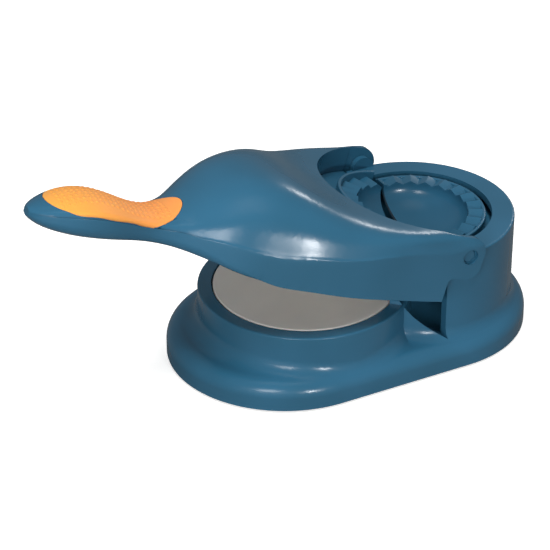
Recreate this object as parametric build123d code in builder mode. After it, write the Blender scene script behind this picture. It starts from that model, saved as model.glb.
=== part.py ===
from build123d import *
import os
from math import cos, pi, radians, sin, tan

os.makedirs("parts", exist_ok=True)

# Driving dimensions, in millimetres and degrees.
# The origin is on the table, under the middle of the base's round front end.
# +X runs from the handle to the mould, +Y across, +Z up.

# Base plan and heights
base_r = 58.2  # round ends of the base
hinge_x = 71.6  # hinge line, also the middle of the round tower
press_to_hinge = 60.4  # middle of the press plates to the hinge line
base_z = 1.2  # underside of the base, held off the table by its feet
shelf_z = 15.5  # top of the plinth
edge_round = 8  # rounding of the plinth's outer edge
foot_round = 8  # hollow rounding where the ring and the tower meet the plinth
base_wall = 2.8

# Ring round the lower press plate
ring_r = 52.6
ring_top = 34.8
ring_edge = 1.0
plate_r = 45
plate_gap = 0.8
plate_seat_z = 30.6
plate_rim_z = 34.9
plate_dish = 1.5
plate_rim_w = 3.5
plate_edge = 0.5
press_gap = 1.0

# Tower with the round well
tower_r = 50.8
tower_top = 59.8
tower_edge = 1.0
tower_wall = 4.3
tower_deck = 3.5
tower_front = 9.6  # flat front face, ahead of the hinge line
well_r = 39.7
well_floor_z = 6.0
low_wall_z = 31  # height of the low wall where it leaves the ring

# Hinge
hinge_z = 59.9
lug_r = 6
lug_inner_y = 48
lug_proud = 0.15  # the lugs stand this far out of the tower's side, short of the ears
pin_r = 3.35
pin_clear = 0.05
pin_cover = 0.8  # what the lug leaves over the pin's inner end
pin_recess = 1.0
pin_edge = 0.4
ear_sink_r = 4.0
ear_sink_depth = 1.2
rest_lift = 17.6  # the lid stands this far open at rest

# Lid
lid_clear = 0.5
ear_wall = 2.7
lid_wall = 2.4
lid_rim_z = 35.5
tray_wall = 2.0
tray_floor_z = 52.9
tray_floor = 2.0
bulkhead = 2.4
cover_t = 2.4
cover_clear = 0.3
lid_back = 10.2  # the lid's inner parts end this far ahead of the hinge line

# Mould leaves
lip_t = 1.8
front_lip_rise = 3.1  # front lip above the hinge line
rear_lip_rise = -0.6  # rear lip, low enough for the front teeth to fold over it
rear_lip_r = 36.6
lip_clear = 0.6
band_drop = 1.6  # crimp bands below the hinge line
band_t = 2.0
bowl_r = 28
bowl_depth = 14.4
bowl_wall = 1.8
tooth_h = 2.0
tooth_count = 12
leaf_flange = 2.0
rear_foot_z = 50.2
front_foot_z = 53.4  # high enough to swing clear of the well's edge
fold_gap = 0.4
leaf_side_clear = 0.3
tray_hole_clear = 1.5
ledge_clear = 1.0  # round the leaves' lips and bowls
tooth_sink = 0.5

# Grip inlay
grip_t = 2.0
grip_gap = 0.25
grip_base_z = 46  # a level inside the shut handle all along the grip

# Screws and feet
screw_r = 1.5
screw_head_r = 2.9
screw_head_h = 1.6
boss_r = 3.6
boss_inset = 7.2  # middle of the base's bosses, in from the outline
plate_screw_r = 26  # circle of the upper plate's screws
base_screw_l = 8
lid_screw_l = 8
plate_screw_l = 4.4
foot_r = 6
foot_sink = 0.8
foot_clear = 0.2

overrun = 1  # how far cutting tools run past the faces they cut

# Sizes that follow from the ones above
press_x = hinge_x - press_to_hinge
opening_r = tower_r + lid_clear
lid_half_w = opening_r + ear_wall
front_lip_r = rear_lip_r + lip_clear + lip_t
band_z = hinge_z - band_drop
upper_plate_z = plate_rim_z + press_gap
upper_plate_t = 3.0
upper_plate_r = plate_r - 1
cover_z = upper_plate_z + upper_plate_t
cover_top_z = cover_z + cover_t
ledge_z = rear_foot_z - leaf_flange - 0.4
well_in_r = tower_r - tower_wall
deck_z = tower_top - tower_deck
tower_front_x = hinge_x - tower_front
lug_outer_y = tower_r + lug_proud
lug_mid_y = (lug_outer_y + lug_inner_y) / 2
pin_in_y = lug_inner_y + pin_cover
pin_out_y = lid_half_w - pin_recess
boss_ring_r = base_r - boss_inset
hinge_axis = Axis((hinge_x, 0, hinge_z), (0, 1, 0))

# Screw and foot places, as plan positions, mirrored across the middle
base_screw_spots = [
    (middle + boss_ring_r * cos(radians(turn)), side * boss_ring_r * sin(radians(turn)))
    for side in (1, -1)
    for middle, turn in ((0, 151.4), (hinge_x / 2, 90), (hinge_x, 40))
]
foot_spots = [(x, side * y) for side in (1, -1) for x, y in ((-22, 38), (hinge_x / 2, 36), (102, 22))]
plate_screw_spots = [
    (press_x + plate_screw_r * cos(radians(turn)), plate_screw_r * sin(radians(turn)))
    for turn in (60, 180, 300)
]
lid_screw_spots = [(hinge_x - 108, 0)] + [
    (hinge_x - ahead, side * y) for side in (1, -1) for ahead, y in ((44, 46), (17, 44))
]

# Half outline of the grip: its tip, sides and end as distance ahead of the hinge and half width
grip_outline = [
    201.5, (198.5, 8), (193, 12.8), (183, 15.4), (171, 15.2), (157, 13), (145, 12.4), (136, 11.4), 130.2
]

# Side view of an ear from the hinge: skirt edge, step, round back and top, with corner roundings
ear_outline = [
    (-40, -60, 0), (-8.2, -60, 0), (-8.2, -12, 2.5), (8.2, -12, 6.5), (8.2, 9.8, 9.5), (-40, 10.4, 0)
]
ear_cut_mid, ear_cut_w = 10, 60  # stretch along the hinge's sides that the outline trims

# Side view of the low wall: distance ahead of the tower's flat front, height
low_wall_line = [(0, shelf_z + 0.1), (7, shelf_z + 5), (15, low_wall_z - 3), (21, ring_top + 2)]


def base_plan(radius):
    """Long round-ended outline of the base, with ends of this radius."""
    with BuildSketch() as plan:
        with Locations((hinge_x / 2, 0)):
            SlotCenterToCenter(hinge_x, 2 * radius)
    return plan.sketch


def lid_section(row, inset=0):
    """Cross-section of the lid: a squarish arch over a flat or rounded underside."""
    ahead, half_w, low, high, belly, power = row
    half_w, high = half_w - inset, high - inset
    low = low if inset == 0 else low - lid_wall
    widest = low + belly * (high - low)
    plane = Plane((hinge_x - ahead, 0, 0), x_dir=(0, 1, 0), z_dir=(1, 0, 0))
    steps = 12
    turns = [pi * i / steps for i in range(1, steps)]

    def across(t):
        return half_w * (1 if cos(t) > 0 else -1) * abs(cos(t)) ** (2 / power)

    crown = [(across(t), widest + (high - widest) * sin(t) ** (2 / power)) for t in turns]
    keel = [(across(t), widest - (widest - low) * sin(t)) for t in turns[2:-2:2]]
    ends = (half_w, widest), (-half_w, widest)
    with BuildSketch(plane) as section:
        with BuildLine():
            Spline(ends[0], *crown, ends[1], tangents=[(0, 1), (0, -1)])
            if belly:
                Spline(ends[1], *reversed(keel), ends[0], tangents=[(0, -1), (0, 1)])
            else:
                Line(ends[1], ends[0])
        make_face()
    return section.sketch


# Cross-sections of the lid when shut, from its ears to the handle's tip: distance ahead
# of the hinge, half width, underside, top, height share of the widest level, squareness
lid_rows = [
    (-8, lid_half_w, lid_rim_z, 72.0, 0, 20),
    (10, lid_half_w, lid_rim_z, 71.2, 0, 19),
    (28, lid_half_w, lid_rim_z, 69.4, 0, 16),
    (46, lid_half_w - 0.1, lid_rim_z, 68.8, 0, 9.5),
    (64, lid_half_w - 1.8, lid_rim_z, 71.4, 0, 4.8),
    (82, lid_half_w - 6.2, lid_rim_z, 76.0, 0, 3.4),
    (98, lid_half_w - 12.2, lid_rim_z, 77.2, 0, 2.8),
    (112, lid_half_w - 18.8, lid_rim_z + 0.6, 73.2, 0.09, 2.5),
    (124, 27.2, 36.0, 64.6, 0.24, 2.3),
    (136, 18.6, 37.0, 55.6, 0.4, 2.1),
    (150, 14.4, 38.0, 53.0, 0.5, 2),
    (166, 16.4, 38.4, 56.4, 0.5, 2),
    (182, 17.8, 39.0, 59.0, 0.5, 2),
    (196, 14.2, 40.6, 56.4, 0.5, 2),
    (205, 8.6, 43.2, 52.4, 0.5, 2),
    (209.4, 2.5, 46.0, 50.0, 0.5, 2),
]

# Whole outer form of the lid and handle, used as a tool by several pieces
with BuildPart() as lid_form:
    loft([lid_section(row) for row in lid_rows])

# The space inside the lid's walls, open at the bottom
with BuildPart() as lid_hollow:
    loft([lid_section(row, lid_wall) for row in lid_rows[:8]])

# Base: plinth, ring, tower and well, moulded in one piece
with BuildPart() as plinth:
    add(base_plan(base_r))
    extrude(amount=shelf_z)
    fillet(plinth.edges().group_by(Axis.Z)[-1], edge_round)

with BuildPart() as ring_body:
    add(plinth.part)
    with Locations((press_x, 0, ring_top / 2)):
        Cylinder(ring_r, ring_top)
    ring_foot = ring_body.edges().filter_by(lambda e: abs(e.center().Z - shelf_z) < 3)
    fillet(ring_foot, foot_round)
    fillet(ring_body.edges().group_by(Axis.Z)[-1], ring_edge)

with BuildPart() as well_space:
    with Locations((hinge_x, 0, (well_floor_z + deck_z) / 2)):
        Cylinder(well_in_r, deck_z - well_floor_z)
    with Locations((press_x, 0, ring_top / 2)):
        Cylinder(ring_r, ring_top + 1, mode=Mode.SUBTRACT)

with BuildPart() as under_space:
    add(base_plan(base_r - base_wall - 1))
    extrude(amount=shelf_z - base_wall - 1)
    with Locations((press_x, 0, (plate_seat_z - base_wall) / 2)):
        Cylinder(ring_r - base_wall, plate_seat_z - base_wall)
    with BuildSketch():
        with Locations((hinge_x, 0)):
            Circle(well_in_r + base_wall)
        with Locations((press_x, 0)):
            Circle(ring_r - base_wall, mode=Mode.SUBTRACT)
    extrude(amount=ring_top, mode=Mode.SUBTRACT)

with BuildPart() as base_shell:
    add(plinth.part)
    with Locations((hinge_x, 0, tower_top / 2)):
        Cylinder(tower_r, tower_top)
    tower_foot = base_shell.edges().filter_by(lambda e: abs(e.center().Z - shelf_z) < 3)
    fillet(tower_foot, foot_round)
    fillet(base_shell.edges().group_by(Axis.Z)[-1], tower_edge)
    # Ahead of its flat front the tower drops to a low wall that slopes to the plinth
    with BuildSketch(Plane.XZ.offset(-base_r)):
        with BuildLine():
            slope = Spline(*[(tower_front_x - ahead, z) for ahead, z in low_wall_line])
            Polyline(
                slope @ 1,
                (hinge_x - tower_r - foot_round, (slope @ 1).Y),
                (hinge_x - tower_r - foot_round, tower_top + overrun),
                (tower_front_x, tower_top + overrun),
                slope @ 0,
            )
        make_face()
    extrude(amount=2 * base_r, mode=Mode.SUBTRACT)
    add(ring_body.part)
    add(well_space.part, mode=Mode.SUBTRACT)
    # Round well in the tower's deck, with a ledge below it for the rear mould leaf
    with Locations((hinge_x, 0, tower_top)):
        Cylinder(well_r, 3 * tower_deck, mode=Mode.SUBTRACT)
    with BuildSketch(Plane.XY.offset(ledge_z)):
        with Locations((hinge_x, 0)):
            Circle(well_in_r + overrun)
            Circle(rear_lip_r + ledge_clear, mode=Mode.SUBTRACT)
        with Locations((hinge_x - tower_r + fold_gap, 0)):
            Rectangle(2 * tower_r, 2 * tower_r, mode=Mode.SUBTRACT)
    extrude(amount=rear_foot_z - ledge_z)
    # Lugs on the tower's sides, with blind holes for the hinge pins
    with Locations((hinge_x, lug_mid_y, hinge_z), (hinge_x, -lug_mid_y, hinge_z)):
        Cylinder(lug_r, lug_outer_y - lug_inner_y, rotation=(90, 0, 0))
    with Locations(*[(hinge_x, side * (pin_in_y + lid_half_w) / 2, hinge_z) for side in (1, -1)]):
        Cylinder(pin_r + pin_clear, lid_half_w - pin_in_y, rotation=(90, 0, 0), mode=Mode.SUBTRACT)
    # Seat of the lower press plate
    with Locations((press_x, 0, ring_top)):
        Cylinder(plate_r + plate_gap, 2 * (ring_top - plate_seat_z), mode=Mode.SUBTRACT)
    # Underside: hollow, with a rebate for the cover and bosses for its screws
    add(under_space.part, mode=Mode.SUBTRACT)
    with Locations(*[(x, y, (shelf_z - base_wall) / 2) for x, y in base_screw_spots]):
        Cylinder(boss_r, shelf_z - base_wall)
    with BuildSketch():
        add(base_plan(base_r + overrun))
    extrude(amount=base_z, mode=Mode.SUBTRACT)
    with BuildSketch(Plane.XY.offset(base_z)):
        add(base_plan(base_r - base_wall + cover_clear))
    extrude(amount=cover_t, mode=Mode.SUBTRACT)
    with Locations(*[(x, y, base_z + base_screw_l / 2) for x, y in base_screw_spots]):
        Cylinder(screw_r, base_screw_l + 1, mode=Mode.SUBTRACT)
base_shell.part.label = "base_shell"
export_step(base_shell.part, "parts/base_shell.step")

# Flat cover that closes the underside of the base
with BuildPart() as base_cover:
    with BuildSketch(Plane.XY.offset(base_z)):
        add(base_plan(base_r - base_wall))
    extrude(amount=cover_t)
    with Locations(*[(x, y, base_z) for x, y in foot_spots]):
        Cylinder(foot_r + foot_clear, 2 * foot_sink, mode=Mode.SUBTRACT)
    with Locations(*[Location((x, y, base_z), (180, 0, 0)) for x, y in base_screw_spots]):
        CounterSinkHole(screw_r + 0.1, screw_head_r + 0.1, 2 * cover_t)
base_cover.part.label = "base_cover"
export_step(base_cover.part, "parts/base_cover.step")


def screws(spots, top_z, length, up=1):
    """Countersunk screws with their heads at top_z, pointing down, or up if up is -1."""
    with BuildPart() as group:
        with Locations(*[(x, y, top_z) for x, y in spots]):
            with Locations((0, 0, -up * screw_head_h / 2)):
                Cone(screw_r, screw_head_r, screw_head_h, rotation=(0 if up > 0 else 180, 0, 0))
            with Locations((0, 0, -up * length / 2)):
                Cylinder(screw_r - 0.05, length)
    return group.part


with BuildPart() as base_screws:
    add(screws(base_screw_spots, base_z, base_screw_l, up=-1))
base_screws.part.label = "base_screws"
export_step(base_screws.part, "parts/base_screws.step")

with BuildPart() as anti_slip_feet:
    with Locations(*[(x, y, (base_z + foot_sink) / 2) for x, y in foot_spots]):
        Cylinder(foot_r, base_z + foot_sink)
anti_slip_feet.part.label = "anti_slip_feet"
export_step(anti_slip_feet.part, "parts/anti_slip_feet.step")

# Lower press plate: a shallow dish with a flat rim
dish_r = plate_r - plate_rim_w
dish_ball_r = (dish_r**2 + plate_dish**2) / (2 * plate_dish)
with BuildPart() as lower_press_plate:
    with Locations((press_x, 0, (plate_seat_z + plate_rim_z) / 2)):
        Cylinder(plate_r, plate_rim_z - plate_seat_z)
    fillet(lower_press_plate.edges().filter_by(GeomType.CIRCLE), plate_edge)
    with Locations((press_x, 0, plate_rim_z - plate_dish + dish_ball_r)):
        Sphere(dish_ball_r, mode=Mode.SUBTRACT)
lower_press_plate.part.label = "lower_press_plate"
export_step(lower_press_plate.part, "parts/lower_press_plate.step")


def mould_leaf(side, lip_r, foot_z, lip_rise, first_tooth, teeth):
    """Half of the mould on one side of the fold: lip wall, crimp band and half bowl."""
    with BuildPart() as leaf:
        with BuildSketch(Plane.XY.offset(foot_z)):
            Circle(lip_r)
            Circle(lip_r - lip_t, mode=Mode.SUBTRACT)
        extrude(amount=hinge_z + lip_rise - foot_z)
        fillet(leaf.edges().group_by(Axis.Z)[-1], lip_t / 3)
        with BuildSketch(Plane.XY.offset(band_z)):
            Circle(lip_r - lip_t / 2)
            Circle(bowl_r, mode=Mode.SUBTRACT)
        extrude(amount=-band_t)
        # Bowl: an oval arc turned about the vertical
        with BuildSketch(Plane.XZ):
            with Locations((0, band_z)):
                Ellipse(bowl_r + bowl_wall, bowl_depth + bowl_wall)
                Ellipse(bowl_r, bowl_depth, mode=Mode.SUBTRACT)
            with Locations((-lip_r, 0)):
                Rectangle(2 * lip_r, 4 * lip_r, mode=Mode.SUBTRACT)
            with Locations((0, band_z + lip_r)):
                Rectangle(4 * lip_r, 2 * lip_r, mode=Mode.SUBTRACT)
        revolve(axis=Axis.Z)
        # Crimp teeth: ridges that widen outwards
        for i in range(teeth):
            turn = first_tooth + i * 180 / tooth_count
            ridge = []
            for r in (bowl_r, lip_r - lip_t + tooth_sink / 2):
                half = r * tan(radians(90 / tooth_count))
                out = Vector(cos(radians(turn)), sin(radians(turn)), 0)
                across = Vector(-out.Y, out.X, 0)
                at = Plane(out * r + Vector(0, 0, band_z), x_dir=across, z_dir=out)
                root = -tooth_sink
                with BuildSketch(at) as ends:
                    with BuildLine():
                        Polyline((-half, root), (half, root), (half, 0), (0, tooth_h), (-half, 0), close=True)
                    make_face()
                ridge.append(ends.sketch)
            loft(ridge, ruled=True)
        split(bisect_by=Plane.YZ.offset(side * fold_gap), keep=Keep.TOP if side > 0 else Keep.BOTTOM)
    return leaf.part.moved(Location((hinge_x, 0, 0)))


with BuildPart() as rear_mold_leaf:
    add(mould_leaf(1, rear_lip_r, rear_foot_z, rear_lip_rise, -90, tooth_count + 1))
    with BuildSketch(Plane.XY.offset(rear_foot_z)):
        with Locations((hinge_x, 0)):
            Circle(well_r - leaf_side_clear)
            Circle(rear_lip_r - lip_t / 2, mode=Mode.SUBTRACT)
        with Locations((hinge_x - well_r + fold_gap, 0)):
            Rectangle(2 * well_r, 2 * well_r, mode=Mode.SUBTRACT)
    extrude(amount=leaf_flange)
rear_mold_leaf.part.label = "rear_mold_leaf"
export_step(rear_mold_leaf.part, "parts/rear_mold_leaf.step")

# Hinge pins, pressed into the lugs, with the lid's ears turning on their outer ends
for side, name in ((-1, "hinge_pin_left"), (1, "hinge_pin_right")):
    with BuildPart() as hinge_pin:
        with Locations((hinge_x, side * (pin_out_y + pin_in_y) / 2, hinge_z)):
            Cylinder(pin_r, pin_out_y - pin_in_y, rotation=(90, 0, 0))
        chamfer(hinge_pin.edges().filter_by(GeomType.CIRCLE), pin_edge)
    hinge_pin.part.label = name
    export_step(hinge_pin.part, f"parts/{name}.step")


def grip_block(grow, depth):
    """Block over the handle: the grip's outline, grown, from this depth under the surface up."""
    tip, *sides, end = grip_outline
    edge = [(tip + grow, 0), *[(ahead, y + grow) for ahead, y in sides], (end - grow, 0)]
    with BuildPart() as block:
        with BuildSketch(Plane.XY.offset(grip_base_z)):
            with BuildLine():
                Spline(*[(hinge_x - ahead, y) for ahead, y in edge], tangents=[(0, 1), (0, -1)])
                mirror(about=Plane.XZ)
            make_face()
        extrude(amount=lid_rim_z)
        add(lid_form.part.moved(Location((0, 0, -depth))), mode=Mode.SUBTRACT)
    return block.part


def ear_side():
    """An ear and the skirt under it, seen from the side, with its corners rounded."""
    with BuildSketch() as side:
        with BuildLine():
            Polyline(*[(x, z) for x, z, corner in ear_outline], close=True)
        make_face()
        for x, z, corner in ear_outline:
            if corner:
                fillet(side.vertices().sort_by_distance((x, z, 0))[0], corner)
    return side.sketch


# The lid's pieces are modelled shut and then raised about the hinge to their rest place

# Solid block ahead of the hinge that becomes the tray round the front leaf
with BuildPart() as tray:
    with BuildSketch(Plane.XY.offset(lid_rim_z)):
        with Locations((hinge_x, 0)):
            Circle(opening_r + tray_wall)
        with Locations((hinge_x - lid_back + lid_half_w, 0)):
            Rectangle(2 * lid_half_w, 4 * lid_half_w, mode=Mode.SUBTRACT)
    extrude(amount=2 * lid_half_w)
    # Room under the tray floor, open below, with the bulkhead left at the back
    with BuildSketch(Plane.XY.offset(lid_rim_z)):
        with Locations((hinge_x, 0)):
            Circle(2 * lid_half_w)
        with Locations((hinge_x - lid_back - bulkhead + 2 * lid_half_w, 0)):
            Rectangle(4 * lid_half_w, 6 * lid_half_w, mode=Mode.SUBTRACT)
    extrude(amount=cover_top_z - lid_rim_z, mode=Mode.SUBTRACT)
    with BuildSketch(Plane.XY.offset(cover_top_z)):
        with Locations((hinge_x, 0)):
            Circle(opening_r)
        with Locations((hinge_x - lid_back - bulkhead + 2 * lid_half_w, 0)):
            Rectangle(4 * lid_half_w, 6 * lid_half_w, mode=Mode.SUBTRACT)
    extrude(amount=tray_floor_z - cover_top_z, mode=Mode.SUBTRACT)

# Room inside the lid: all but the bulkhead, the tray and the bosses for the cover's screws
with BuildPart() as lid_room:
    add(lid_hollow.part)
    with Locations((hinge_x - lid_back - bulkhead + lid_half_w, 0, hinge_z)):
        Box(2 * lid_half_w, 4 * lid_half_w, 4 * lid_half_w, mode=Mode.SUBTRACT)
    add(tray.part, mode=Mode.SUBTRACT)
    with Locations(*[(x, y, cover_top_z + lid_half_w) for x, y in lid_screw_spots]):
        Cylinder(boss_r, 2 * lid_half_w, mode=Mode.SUBTRACT)

with BuildPart() as lid_shell:
    add(lid_form.part)
    add(lid_room.part, mode=Mode.SUBTRACT)
    # Round opening over the tower, running back between the ears
    with BuildSketch(Plane.XY.offset(tray_floor_z + tray_floor)):
        with Locations((hinge_x, 0)):
            Circle(opening_r)
        with Locations((hinge_x + opening_r, 0)):
            Rectangle(2 * opening_r, 2 * opening_r)
    extrude(amount=2 * opening_r, mode=Mode.SUBTRACT)
    with Locations((hinge_x - lid_back + opening_r, 0, hinge_z)):
        Box(2 * opening_r, 2 * opening_r, 4 * opening_r, mode=Mode.SUBTRACT)
    # Hole through the tray floor and bulkhead for the front leaf and its bowl
    with Locations((hinge_x, 0, tray_floor_z - overrun + opening_r / 2)):
        Cylinder(front_lip_r + tray_hole_clear, opening_r, mode=Mode.SUBTRACT)
    with Locations((hinge_x, 0, cover_top_z + leaf_side_clear + opening_r / 2)):
        Cylinder(bowl_r + bowl_wall + ledge_clear, opening_r, mode=Mode.SUBTRACT)
    # What lies outside the ears' outline is cut away
    with BuildSketch(Plane.XZ.offset(-2 * lid_half_w)):
        with Locations((hinge_x, hinge_z)):
            with Locations((ear_cut_mid, 0)):
                Rectangle(ear_cut_w, 2 * lid_half_w)
            add(ear_side(), mode=Mode.SUBTRACT)
    extrude(amount=4 * lid_half_w, mode=Mode.SUBTRACT)
    with Locations((hinge_x, 0, hinge_z)):
        Cylinder(pin_r + pin_clear, 2 * lid_half_w + 2, rotation=(90, 0, 0), mode=Mode.SUBTRACT)
    with Locations((hinge_x, lid_half_w, hinge_z), (hinge_x, -lid_half_w, hinge_z)):
        Cylinder(ear_sink_r, 2 * ear_sink_depth, rotation=(90, 0, 0), mode=Mode.SUBTRACT)
    with Locations(*[(x, y, cover_top_z) for x, y in lid_screw_spots]):
        Cylinder(screw_r, 2 * lid_screw_l, mode=Mode.SUBTRACT)
    add(grip_block(grip_gap, grip_t + grip_gap / 2), mode=Mode.SUBTRACT)
lid_shell.part = lid_shell.part.rotate(hinge_axis, rest_lift)
lid_shell.part.label = "lid_shell"
export_step(lid_shell.part, "parts/lid_shell.step")

with BuildPart() as front_mold_leaf:
    add(mould_leaf(-1, front_lip_r, front_foot_z, front_lip_rise, 90 + 90 / tooth_count, tooth_count))
    with BuildSketch(Plane.XY.offset(tray_floor_z + tray_floor)):
        with Locations((hinge_x, 0)):
            Circle(opening_r - leaf_side_clear)
            Circle(front_lip_r - lip_t / 2, mode=Mode.SUBTRACT)
        with Locations((hinge_x - lid_back + 2 * opening_r, 0)):
            Rectangle(4 * opening_r, 4 * opening_r, mode=Mode.SUBTRACT)
    extrude(amount=leaf_flange)
front_mold_leaf.part = front_mold_leaf.part.rotate(hinge_axis, rest_lift)
front_mold_leaf.part.label = "front_mold_leaf"
export_step(front_mold_leaf.part, "parts/front_mold_leaf.step")

# Inner cover: a plate that fits inside the lid's wall
with BuildPart() as lid_inner_cover:
    with BuildSketch(Plane.XY.offset(cover_z)):
        with Locations((hinge_x - lid_back - bulkhead - cover_clear - 2 * lid_half_w, 0)):
            Rectangle(4 * lid_half_w, 4 * lid_half_w)
    extrude(amount=cover_t)
    with BuildPart(mode=Mode.PRIVATE) as inside:
        loft([lid_section(row, lid_wall + cover_clear) for row in lid_rows[:8]])
    add(inside.part, mode=Mode.INTERSECT)
    with Locations(*[Location((x, y, cover_z), (180, 0, 0)) for x, y in lid_screw_spots]):
        CounterSinkHole(screw_r + 0.1, screw_head_r + 0.1, 2 * cover_t)
    with Locations(*[(x, y, cover_top_z) for x, y in plate_screw_spots]):
        CounterSinkHole(screw_r + 0.1, screw_head_r + 0.1, 2 * cover_t)
lid_inner_cover.part = lid_inner_cover.part.rotate(hinge_axis, rest_lift)
lid_inner_cover.part.label = "lid_inner_cover"
export_step(lid_inner_cover.part, "parts/lid_inner_cover.step")

with BuildPart() as lid_screws:
    add(screws(lid_screw_spots, cover_z, lid_screw_l, up=-1))
lid_screws.part = lid_screws.part.rotate(hinge_axis, rest_lift)
lid_screws.part.label = "lid_screws"
export_step(lid_screws.part, "parts/lid_screws.step")

# Upper press plate: its face bulges into the lower plate's dish
with BuildPart() as upper_press_plate:
    with Locations((press_x, 0, upper_plate_z - plate_dish + dish_ball_r)):
        Sphere(dish_ball_r)
    with Locations((press_x, 0, cover_z - upper_plate_t)):
        Cylinder(dish_r - 1, 2 * upper_plate_t, mode=Mode.INTERSECT)
    with Locations((press_x, 0, cover_z - upper_plate_t / 2)):
        Cylinder(upper_plate_r, upper_plate_t)
with BuildPart() as plate_holes:
    with Locations(*[(x, y, cover_z) for x, y in plate_screw_spots]):
        Cylinder(screw_r, 2 * (plate_screw_l - cover_t + 0.3))
upper_press_plate.part = upper_press_plate.part - plate_holes.part
upper_press_plate.part = upper_press_plate.part.rotate(hinge_axis, rest_lift)
upper_press_plate.part.label = "upper_press_plate"
export_step(upper_press_plate.part, "parts/upper_press_plate.step")

with BuildPart() as press_plate_screws:
    add(screws(plate_screw_spots, cover_top_z, plate_screw_l))
press_plate_screws.part = press_plate_screws.part.rotate(hinge_axis, rest_lift)
press_plate_screws.part.label = "press_plate_screws"
export_step(press_plate_screws.part, "parts/press_plate_screws.step")

with BuildPart() as handle_grip:
    add(grip_block(0, grip_t))
    add(lid_form.part, mode=Mode.INTERSECT)
handle_grip.part = handle_grip.part.rotate(hinge_axis, rest_lift)
handle_grip.part.label = "handle_grip"
export_step(handle_grip.part, "parts/handle_grip.step")
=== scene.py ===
from math import cos, pi, radians, sin

import bpy
from mathutils import Matrix, Vector


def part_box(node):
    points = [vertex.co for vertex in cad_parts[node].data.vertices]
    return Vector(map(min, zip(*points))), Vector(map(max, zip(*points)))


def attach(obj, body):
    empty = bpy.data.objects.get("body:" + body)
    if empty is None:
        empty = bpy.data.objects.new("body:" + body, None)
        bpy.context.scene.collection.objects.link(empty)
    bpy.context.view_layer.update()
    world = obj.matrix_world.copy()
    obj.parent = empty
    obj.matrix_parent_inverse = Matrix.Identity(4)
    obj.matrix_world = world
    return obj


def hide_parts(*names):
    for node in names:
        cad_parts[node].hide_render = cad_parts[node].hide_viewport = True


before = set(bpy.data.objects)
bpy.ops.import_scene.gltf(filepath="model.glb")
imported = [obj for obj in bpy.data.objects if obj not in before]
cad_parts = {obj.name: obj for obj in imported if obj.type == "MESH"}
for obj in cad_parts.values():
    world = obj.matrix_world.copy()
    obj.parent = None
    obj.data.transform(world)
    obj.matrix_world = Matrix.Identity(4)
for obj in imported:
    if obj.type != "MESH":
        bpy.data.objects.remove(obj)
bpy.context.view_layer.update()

# Base housing
# One moulding of blue ABS, with the ring for the press plate, the low wall and the round tower.
# The mould tool is polished, so the skin is glossy and light runs along its rounded feet.
mm = 0.001
scene = bpy.context.scene


def linear(text):
    """An sRGB hex colour as linear red, green, blue and alpha."""
    parts = [int(text[i : i + 2], 16) / 255 for i in (0, 2, 4)]
    return [c / 12.92 if c <= 0.04045 else ((c + 0.055) / 1.055) ** 2.4 for c in parts] + [1]


def add(material, kind, inputs=None, stops=None, **settings):
    """Adds a shader node with its settings, values and links, and colours for a ramp."""
    made = material.node_tree.nodes.new("ShaderNode" + kind)
    for name, value in settings.items():
        setattr(made, name, value)
    for name, value in (inputs or {}).items():
        if isinstance(value, tuple) and isinstance(value[0], bpy.types.Node):
            material.node_tree.links.new(value[0].outputs[value[1]], made.inputs[name])
        else:
            made.inputs[name].default_value = value
    for element, (place, colour) in zip(made.color_ramp.elements if stops else [], stops or []):
        element.position, element.color = place, linear(colour)
    return made


def finish(material, sockets, **links):
    """Sets and links the sockets of the material's own shader."""
    shader = material.node_tree.nodes["Principled BSDF"]
    for name, value in sockets.items():
        shader.inputs[name].default_value = value
    for name, (maker, output) in links.items():
        socket = shader.inputs[name.replace("_", " ")]
        material.node_tree.links.new(maker.outputs[output], socket)


def take_up(piece):
    """Selects this piece alone, for the operators that follow."""
    bpy.ops.object.select_all(action="DESELECT")
    piece.select_set(True)
    bpy.context.view_layer.objects.active = piece


def housing(name, body, smooth=32):
    """A merged copy of a CAD moulding that stands for it, smooth up to this edge angle."""
    piece = bpy.data.objects.new(name + "_skin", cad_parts[name].data.copy())
    scene.collection.objects.link(piece)
    take_up(piece)
    bpy.ops.mesh.customdata_custom_splitnormals_clear()
    bpy.ops.object.mode_set(mode="EDIT")
    bpy.ops.mesh.select_all(action="SELECT")
    bpy.ops.mesh.remove_doubles(threshold=0.001 * mm)
    bpy.ops.object.mode_set(mode="OBJECT")
    bpy.ops.object.shade_smooth_by_angle(angle=radians(smooth))
    even = piece.modifiers.new("even_faces", "WEIGHTED_NORMAL")
    even.keep_sharp = True
    bpy.ops.object.modifier_apply(modifier=even.name)
    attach(piece, body)
    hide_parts(name)
    return piece


def paint(piece, material):
    """Gives a piece one finish."""
    piece.data.materials.clear()
    piece.data.materials.append(material)


# Polished moulded ABS: an even deep blue with a soft broad shine and a faint orange peel
polished_abs = bpy.data.materials.new("polished_moulded_abs")
polished_abs.use_nodes = True
place = add(polished_abs, "TexCoord")
# Pigment that flowed a little unevenly, in patches of about 60 mm
flow = add(polished_abs, "TexNoise", {"Vector": (place, "Object"), "Scale": 1 / (60 * mm), "Detail": 2.0})
blue = add(polished_abs, "ValToRGB", {"Fac": (flow, "Fac")}, [(0.35, "2A5D78"), (0.65, "306684")])
# Handling leaves patches of about 15 mm a touch duller than others
touch = add(polished_abs, "TexNoise", {"Vector": (place, "Object"), "Scale": 1 / (15 * mm), "Detail": 4.0})
dull = add(polished_abs, "MapRange", {"Value": (touch, "Fac"), "To Min": 0.22, "To Max": 0.27})
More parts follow.
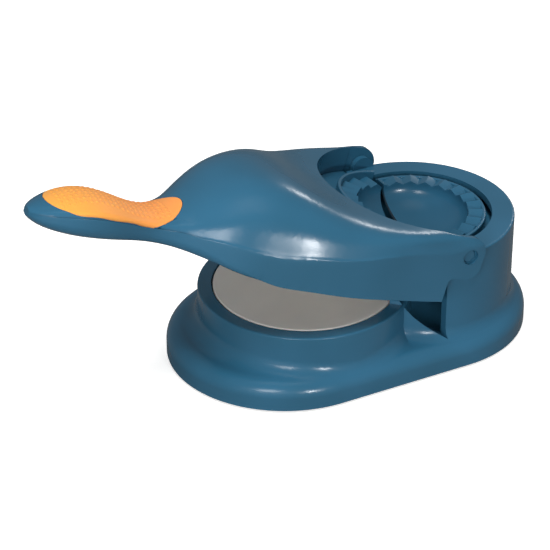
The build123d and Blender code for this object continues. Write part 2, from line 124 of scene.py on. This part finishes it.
# Orange peel of a polished tool is about 1 mm across, drawn at 1.6 mm so that it shows
peel = add(polished_abs, "TexNoise", {"Vector": (place, "Object"), "Scale": 1 / (1.6 * mm), "Detail": 1.0})
skin = add(polished_abs, "Bump", {"Height": (peel, "Fac"), "Strength": 0.1, "Distance": 0.02 * mm})
finish(
    polished_abs,
    {"IOR": 1.54, "Coat Weight": 0.08, "Coat Roughness": 0.2},
    Base_Color=(blue, "Color"),
    Roughness=(dull, "Result"),
    Normal=(skin, "Normal"),
)
paint(housing("base_shell", "base"), polished_abs)

# Bottom cover of the base
# A flat ABS plate, let into the rim of the underside and held by six screws.
# Its tool is spark-eroded, so the plate is matt with a fine even grain.
eroded_abs = bpy.data.materials.new("spark_eroded_abs")
eroded_abs.use_nodes = True
place = add(eroded_abs, "TexCoord")
# Real grain is 0.3 mm, drawn at 0.7 mm so that it shows
grain = add(eroded_abs, "TexVoronoi", {"Vector": (place, "Object"), "Scale": 1 / (0.7 * mm)})
shade = add(eroded_abs, "ValToRGB", {"Fac": (grain, "Distance")}, [(0.2, "2F5871"), (0.9, "37637E")])
pits = add(eroded_abs, "Bump", {"Height": (grain, "Distance"), "Strength": 0.35, "Distance": 0.03 * mm})
finish(
    eroded_abs,
    {"IOR": 1.54, "Roughness": 0.55},
    Base_Color=(shade, "Color"),
    Normal=(pits, "Normal"),
)
paint(housing("base_cover", "base"), eroded_abs)

# Cover screws of the base
# Countersunk steel screws for plastic, zinc plated, with a cross recess pressed into each head.
# The plating is bright but a little cloudy, and the recess shows darker.
zinc_steel = bpy.data.materials.new("zinc_plated_steel")
zinc_steel.use_nodes = True
place = add(zinc_steel, "TexCoord")
cloud = add(zinc_steel, "TexNoise", {"Vector": (place, "Object"), "Scale": 1 / (1.2 * mm), "Detail": 3.0})
plating = add(zinc_steel, "ValToRGB", {"Fac": (cloud, "Fac")}, [(0.3, "A9ABAF"), (0.7, "C9C9C6")])
haze = add(zinc_steel, "MapRange", {"Value": (cloud, "Fac"), "To Min": 0.24, "To Max": 0.42})
finish(zinc_steel, {"Metallic": 1.0}, Base_Color=(plating, "Color"), Roughness=(haze, "Result"))
recess_w, recess_l, recess_deep = 0.9 * mm, 3.2 * mm, 1.3 * mm
recess_taper = (0.45, 0.6, 1)
# The screws stand in the floor's bosses, on rings round the middles of the base's plan
hinge_x, boss_ring = 71.6, 51
boss_turns = ((0, 151.4), (hinge_x / 2, 90), (hinge_x, 40))


def cleaned(piece):
    """Merges the points that a cut leaves too close together, and closes its slits."""
    take_up(piece)
    bpy.ops.object.mode_set(mode="EDIT")
    bpy.ops.mesh.select_all(action="SELECT")
    bpy.ops.mesh.remove_doubles(threshold=0.004 * mm)
    bpy.ops.mesh.dissolve_degenerate(threshold=0.001 * mm)
    bpy.ops.mesh.select_all(action="SELECT")
    bpy.ops.mesh.fill_holes(sides=6)
    bpy.ops.object.mode_set(mode="OBJECT")


def with_recess(piece, heads, out):
    """Cuts a tapered cross into each screw head. out points out of the heads."""
    turn = Vector((0, 0, 1)).rotation_difference(out).to_matrix().to_4x4()
    for head in heads:
        for quarter in (0, pi / 2):
            bpy.ops.object.select_all(action="DESELECT")
            bpy.ops.mesh.primitive_cube_add(size=1)
            blade = bpy.context.object
            blade.data.transform(Matrix.Diagonal((recess_l, recess_w, 2 * recess_deep, 1)))
            bpy.ops.object.mode_set(mode="EDIT")
            bpy.ops.mesh.select_all(action="DESELECT")
            bpy.ops.object.mode_set(mode="OBJECT")
            for vertex in blade.data.vertices:
                vertex.select = vertex.co.z < 0
            for edge in blade.data.edges:
                edge.select = all(blade.data.vertices[v].co.z < 0 for v in edge.vertices)
            bpy.ops.object.mode_set(mode="EDIT")
            bpy.ops.transform.resize(value=recess_taper)
            bpy.ops.object.mode_set(mode="OBJECT")
            blade.data.transform(Matrix.Translation(head) @ turn @ Matrix.Rotation(quarter, 4, "Z"))
            cut = piece.modifiers.new("recess", "BOOLEAN")
            cut.operation, cut.object, cut.solver = "DIFFERENCE", blade, "EXACT"
            bpy.context.view_layer.objects.active = piece
            bpy.ops.object.modifier_apply(modifier=cut.name)
            bpy.data.objects.remove(blade)
    cleaned(piece)


screws = housing("base_screws", "base", 40)
base_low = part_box("base_screws")[0].z
heads = [
    Vector((middle + boss_ring * cos(radians(turn)), side * boss_ring * sin(radians(turn)), base_low / mm))
    for side in (1, -1)
    for middle, turn in boss_turns
]
with_recess(screws, [head * mm for head in heads], Vector((0, 0, -1)))
paint(screws, zinc_steel)

# Feet
# Six thin discs of dark grey rubber, glued into round sinks in the bottom cover.
# They are cut from sheet, so the face is matt and slightly speckled.
foot_rubber = bpy.data.materials.new("cut_sheet_rubber")
foot_rubber.use_nodes = True
place = add(foot_rubber, "TexCoord")
speck = add(foot_rubber, "TexNoise", {"Vector": (place, "Object"), "Scale": 1 / (0.8 * mm), "Detail": 5.0})
grey = add(foot_rubber, "ValToRGB", {"Fac": (speck, "Fac")}, [(0.35, "2A2B2D"), (0.7, "3D3E41")])
rough = add(foot_rubber, "Bump", {"Height": (speck, "Fac"), "Strength": 0.4, "Distance": 0.05 * mm})
finish(
    foot_rubber, {"IOR": 1.5, "Roughness": 0.78}, Base_Color=(grey, "Color"), Normal=(rough, "Normal")
)
paint(housing("anti_slip_feet", "base"), foot_rubber)

# Lower press plate
# A pale dish of polypropylene that drops into the ring, with a thin flat rim.
# It is satin, so dough lets go of it, and a little light goes into the plastic.
satin_pp = bpy.data.materials.new("satin_polypropylene")
satin_pp.use_nodes = True
place = add(satin_pp, "TexCoord")
milky = add(satin_pp, "TexNoise", {"Vector": (place, "Object"), "Scale": 1 / (25 * mm), "Detail": 2.0})
white = add(satin_pp, "ValToRGB", {"Fac": (milky, "Fac")}, [(0.35, "DAD7D2"), (0.7, "E0DDD8")])
# Blasted grain of 0.4 mm, drawn at 0.8 mm
blast = add(satin_pp, "TexNoise", {"Vector": (place, "Object"), "Scale": 1 / (0.8 * mm), "Detail": 3.0})
matt = add(satin_pp, "Bump", {"Height": (blast, "Fac"), "Strength": 0.2, "Distance": 0.02 * mm})
finish(
    satin_pp,
    {"IOR": 1.49, "Roughness": 0.42, "Subsurface Weight": 0.06, "Subsurface Scale": 1.5 * mm},
    Base_Color=(white, "Color"),
    Normal=(matt, "Normal"),
)
paint(housing("lower_press_plate", "base", 50), satin_pp)

# Rear mould leaf
# Half of the crimp mould, in the same ABS, dropped into the well of the tower.
# A thin lip stands round a toothed band, and a half bowl hangs inside the band.
paint(housing("rear_mold_leaf", "base", 25), polished_abs)

# Hinge pins
# Two short ABS pins pressed through the lugs, with their ends sunk in the lid's ears.
for name in ("hinge_pin_left", "hinge_pin_right"):
    paint(housing(name, "base", 40), polished_abs)

# Lid housing
# One hollow ABS moulding from the ears through the crown and the thin neck to the handle.
# It is polished as the base is, and its skirt closes over the ring when the lid is shut.
paint(housing("lid_shell", "lid", 35), polished_abs)

# Inner cover of the lid
# A flat ABS plate, screwed up into the lid, which carries the upper press plate.
paint(housing("lid_inner_cover", "lid"), eroded_abs)

# Upper press plate
# A pale polypropylene disc whose face bulges into the dish of the lower plate.
paint(housing("upper_press_plate", "lid", 50), satin_pp)

# Screws of the lid
# The same zinc-plated screws: five hold the inner cover and three hold the press plate.
# The three are driven from above before the cover goes in, so only their heads show inside.
hinge = Vector((hinge_x, 0, 59.9)) * mm
rest_lift = radians(17.6)
lift = Matrix.Translation(hinge) @ Matrix.Rotation(rest_lift, 4, "Y") @ Matrix.Translation(-hinge)
down = (lift.to_3x3() @ Vector((0, 0, -1))).normalized()
# Places on the shut lid, which lift raises to where it stands
cover_face, cover_back = 38.9, 41.3
lid_spots = [(-36.4, 0)] + [(x, side * y) for side in (1, -1) for x, y in ((27.6, 46), (54.6, 44))]
press_x, plate_ring = 11.2, 26
plate_spots = [
    (press_x + plate_ring * cos(radians(turn)), plate_ring * sin(radians(turn))) for turn in (60, 180, 300)
]
screws = housing("lid_screws", "lid", 40)
with_recess(screws, [lift @ (Vector((x, y, cover_face)) * mm) for x, y in lid_spots], down)
paint(screws, zinc_steel)
screws = housing("press_plate_screws", "lid", 40)
with_recess(screws, [lift @ (Vector((x, y, cover_back)) * mm) for x, y in plate_spots], -down)
paint(screws, zinc_steel)

# Front mould leaf
# The lid's half of the crimp mould, set into the tray of the lid.
# Its teeth stand half a pitch from those of the rear leaf, so the two sets mesh.
paint(housing("front_mold_leaf", "lid", 25), polished_abs)

# Grip inlay
# A pad of orange thermoplastic rubber, let into the top of the handle with a hairline gap.
# It is soft to the touch, matt, and has low round nubs for the thumb.
soft_rubber = bpy.data.materials.new("soft_touch_rubber")
soft_rubber.use_nodes = True
place = add(soft_rubber, "TexCoord")
# The orange is a touch yellower at the tip of the handle than at the neck
tip_x, neck_x = -125 * mm, -60 * mm
along = add(soft_rubber, "SeparateXYZ", {"Vector": (place, "Object")})
reach = add(soft_rubber, "MapRange", {"Value": (along, "X"), "From Min": tip_x, "From Max": neck_x})
orange = add(soft_rubber, "ValToRGB", {"Fac": (reach, "Result")}, [(0.0, "FAAC48"), (0.8, "F89E4E")])
powder = add(soft_rubber, "TexNoise", {"Vector": (place, "Object"), "Scale": 1 / (0.6 * mm), "Detail": 4.0})
matt = add(soft_rubber, "Bump", {"Height": (powder, "Fac"), "Strength": 0.25, "Distance": 0.03 * mm})
finish(
    soft_rubber,
    {
        "IOR": 1.5,
        "Roughness": 0.5,
        "Sheen Weight": 0.15,
        "Subsurface Weight": 0.05,
        "Subsurface Scale": 1 * mm,
    },
    Base_Color=(orange, "Color"),
    Normal=(matt, "Normal"),
)
grip = housing("handle_grip", "lid", 40)
# The pad's end at the neck is half an oval: distance of its middle ahead of the hinge,
# its reach from there, and its half width
round_at, round_reach, round_w = 150.0, 17.8, 12.8
# The neck behind the pad, up to this far ahead of the hinge, and its width and levels
neck_end, neck_w, neck_low, neck_high = 115, 40, 35, 90
end_gap, over_gap = 0.25, 0.35 * mm
wall_tilt, top_tilt = 0.2, 0.3


def trimmed(piece, block, operation):
    """Cuts a piece with a block, or keeps what lies inside the block."""
    cut = piece.modifiers.new("trim", "BOOLEAN")
    cut.operation, cut.object, cut.solver = operation, block, "EXACT"
    take_up(piece)
    bpy.ops.object.modifier_apply(modifier=cut.name)
    bpy.data.objects.remove(block)
    cleaned(piece)


def placed(shape, middle, size):
    """Gives a primitive its middle and size on the shut lid, and lifts it with the lid."""
    shape.data.transform(Matrix.Diagonal((*(Vector(size) * mm), 1)))
    shape.data.transform(lift @ Matrix.Translation(Vector(middle) * mm))
    return shape


def neck_block(name, gap):
    """A block over the neck, hollowed by the pad's round end and moved back by a gap."""
    start, height = hinge_x - round_at + gap, neck_high - neck_low
    level, length = neck_low + height / 2, hinge_x - neck_end - start
    bpy.ops.mesh.primitive_cube_add(size=1)
    block = placed(bpy.context.object, (start + length / 2, 0, level), (length, neck_w, height))
    bpy.ops.mesh.primitive_cylinder_add(vertices=72, radius=1, depth=2)
    end = placed(bpy.context.object, (start, 0, level), (round_reach, round_w, height))
    block.name = name
    trimmed(block, end, "DIFFERENCE")
    return block


# Behind the round end the blue moulding closes over the neck, with a hairline gap
neck = bpy.data.objects.new("neck_skin", grip.data.copy())
scene.collection.objects.link(neck)
trimmed(grip, neck_block("pad_trim", 0), "DIFFERENCE")
trimmed(neck, neck_block("neck_trim", end_gap), "INTERSECT")
bpy.context.view_layer.update()
shell = bpy.data.objects["lid_shell_skin"]
# The top edge of its outer wall moves out over the gap to the lid, onto the lid's face
level = lift.inverted().to_3x3()
outward, tops = {}, set()
for face in neck.data.polygons:
    out = level @ face.normal
    if out.z > top_tilt:
        tops.update(face.vertices)
    if abs(out.z) < wall_tilt:
        for v in face.vertices:
            side = 1 if neck.data.vertices[v].co.y > 0 else -1
            if out.x + side * out.y > 0:
                outward[v] = outward.get(v, Vector()) + Vector((out.x, out.y, 0))
for v in sorted(tops & set(outward)):
    vertex = neck.data.vertices[v]
    at = lift.inverted() @ vertex.co + outward[v].normalized() * over_gap
    hit, spot, out, face = shell.ray_cast(lift @ Vector((at.x, at.y, neck_high * mm)), down)
    if hit and (spot - vertex.co).length < 1 * mm:
        vertex.co = spot
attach(neck, "lid")
paint(neck, polished_abs)
paint(grip, soft_rubber)
# Rows of nubs over the top of the pad, half sunk in its face, from near its tip on
first_nub, nub_step, nubs_in_row = 196.3, 2.8, 21
row_step, outer_row = 2.73, 3
nub_r, nub_flat = 0.9 * mm, 0.3
bpy.context.view_layer.update()
bpy.ops.object.select_all(action="DESELECT")
nubs = []
for row in range(-outer_row, outer_row + 1):
    for step in range(nubs_in_row):
        x = hinge_x - first_nub + nub_step * step
        above = lift @ (Vector((x, row_step * row, neck_high)) * mm)
        hit, spot, out, face = grip.ray_cast(above, down)
        bpy.ops.mesh.primitive_uv_sphere_add(segments=16, ring_count=8, radius=nub_r)
        nub = bpy.context.object
        facing = Vector((0, 0, 1)).rotation_difference(out).to_matrix().to_4x4()
        nub.data.transform(Matrix.Translation(spot) @ facing @ Matrix.Diagonal((1, 1, nub_flat, 1)))
        nubs.append(nub)
for nub in nubs:
    nub.select_set(True)
bpy.ops.object.join()
nubs = bpy.context.object
nubs.name = "grip_nubs"
bpy.ops.object.shade_smooth()
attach(nubs, "lid")
paint(nubs, soft_rubber)

# Floor
# A pale studio floor under a white sky. To the camera it is almost white,
# and it keeps the soft shadow of the part.
bpy.ops.object.select_all(action="DESELECT")
bpy.ops.mesh.primitive_plane_add(size=6, location=(0, 0, 0))
floor = bpy.context.object
floor.name = "studio_floor"
pale = bpy.data.materials.new("pale_studio_floor")
pale.use_nodes = True
ray = add(pale, "LightPath")
# To all but the camera the floor is grey, so that little of it shows in the gloss
bounce = add(
    pale,
    "Mix",
    {"Factor": (ray, "Is Camera Ray"), 6: linear("7C7C7A"), 7: linear("F2F2F0")},
    data_type="RGBA",
)
finish(pale, {"Roughness": 0.9}, Base_Color=(bounce, 2))
shader = pale.node_tree.nodes["Principled BSDF"]
glow = add(pale, "Emission", {"Color": linear("FFFFFF"), "Strength": 0.6})
lit = add(pale, "AddShader", {0: (shader, 0), 1: (glow, 0)})
pick = add(pale, "MixShader", {"Fac": (ray, "Is Camera Ray"), 1: (shader, 0), 2: (lit, 0)})
pale.node_tree.links.new(pick.outputs[0], pale.node_tree.nodes["Material Output"].inputs[0])
paint(floor, pale)

# Studio light
# A dim white room, a small key lamp right of the camera, a softer one on its left and
# one behind on the right, and two broad lamps, one overhead and one low in front.
world = bpy.data.worlds.new("studio")
scene.world = world
world.use_nodes = True
# The camera sees a white sky, and all else gets this much of it
dim_room = 0.17
rays = add(world, "LightPath")
seen = add(
    world, "Math", {0: (rays, "Is Camera Ray"), 1: 1 - dim_room, 2: dim_room}, operation="MULTIPLY_ADD"
)
backdrop = world.node_tree.nodes["Background"]
backdrop.inputs["Color"].default_value = linear("FFFFFF")
world.node_tree.links.new(seen.outputs[0], backdrop.inputs["Strength"])
aim = Vector((0, 0, 0.03))
for name, place, size, power in (
    ("key_lamp", (-0.07, -1.2, 0.36), 0.08, 3.2),
    ("side_lamp", (-0.8, -0.85, 0.6), 0.3, 2.5),
    ("top_lamp", (-0.1, -0.2, 1.5), 0.7, 16),
    ("fill_lamp", (-0.95, -0.9, 0.2), 0.8, 9),
    ("back_lamp", (0.9, 0.62, 0.6), 0.14, 0.8),
):
    bpy.ops.object.light_add(type="AREA", location=place)
    lamp = bpy.context.object
    lamp.name = name
    # The broad lamps only light the part and aren't mirrored in its gloss
    lamp.visible_glossy = name not in ("top_lamp", "fill_lamp")
    lamp.data.size, lamp.data.energy = size, power
    lamp.rotation_euler = (aim - Vector(place)).to_track_quat("-Z", "Y").to_euler()

# Camera
# A long lens, at the place that the photograph's circles and edges give.
stand = Vector((-457.8, -844.9, 610.5)) * mm
# Columns: the picture's right, its up, and back from the part to the camera
look = Matrix(((0.8815, 0.2405, -0.4064), (-0.4722, 0.4490, -0.7586), (0, 0.8606, 0.5094)))
bpy.ops.object.camera_add(location=stand)
camera = bpy.context.object
camera.rotation_euler = look.to_euler()
camera.data.lens, camera.data.sensor_width = 150.3, 36
scene.camera = camera
scene.view_settings.view_transform = "Standard"
